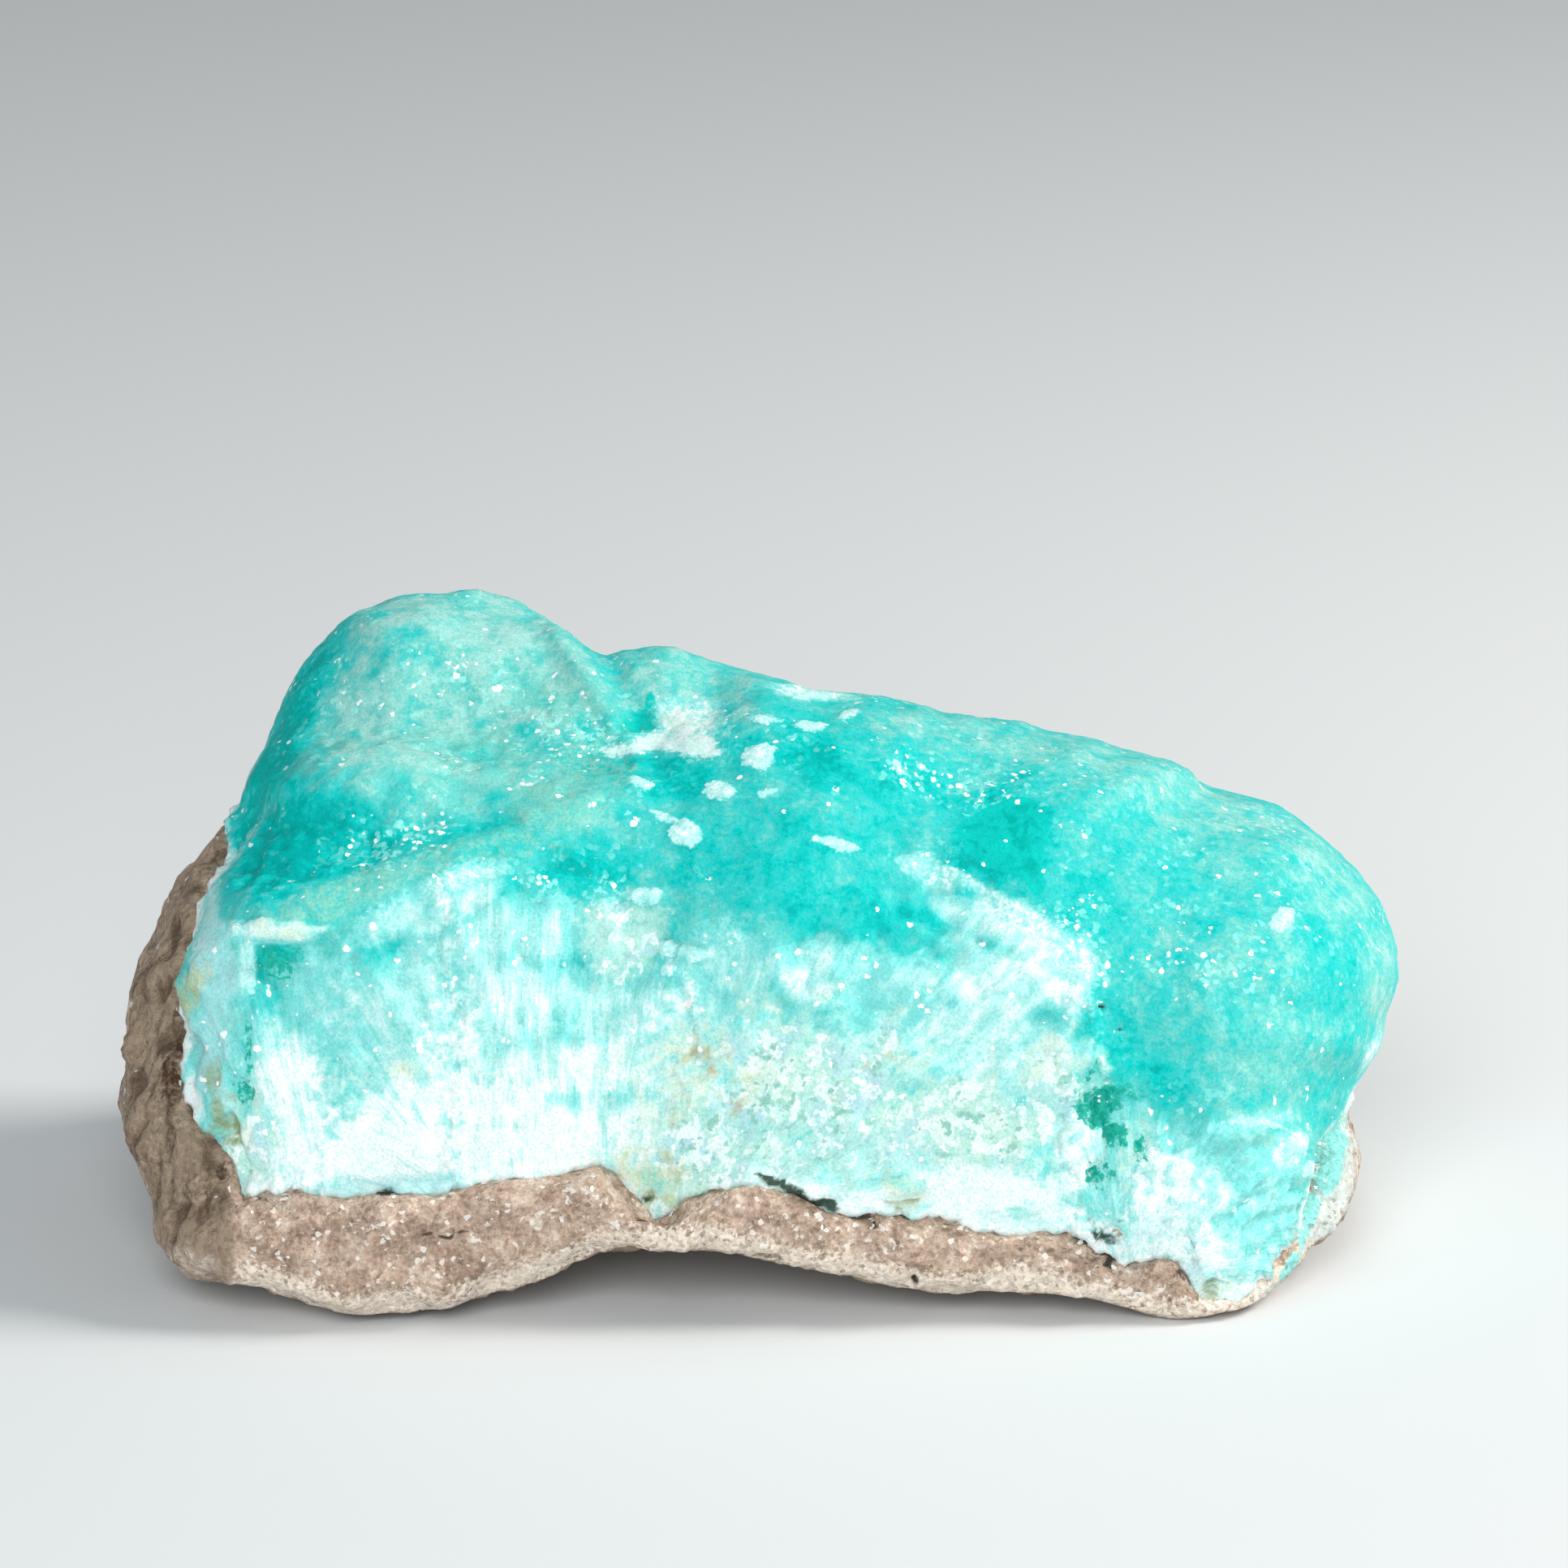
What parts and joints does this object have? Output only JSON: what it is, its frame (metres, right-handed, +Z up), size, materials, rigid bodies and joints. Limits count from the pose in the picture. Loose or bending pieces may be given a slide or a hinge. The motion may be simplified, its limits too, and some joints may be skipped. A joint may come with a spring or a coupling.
{
  "type": "raw smithsonite specimen",
  "caption": "Raw turquoise smithsonite: a thick, lumpy, sparkling crust with a broken fibrous front, grown on a wedge of brown rock. Rests on its underside.",
  "frame": {"origin": "under the middle of the specimen, on the surface it stands on", "axes": "+X along the specimen, towards the rounded end without a knob; +Y away from the broken fibrous front; +Z up"},
  "size_m": [0.0854, 0.049, 0.0402],
  "materials": {
    "matrix": "rough, sugary broken carbonate rock",
    "smithsonite": "glassy to pearly drusy crust, white and fibrous where broken"
  },
  "bodies": {
    "root": {"matrix_rock": "matrix", "smithsonite_crust": "smithsonite"}
  },
  "joints": []
}
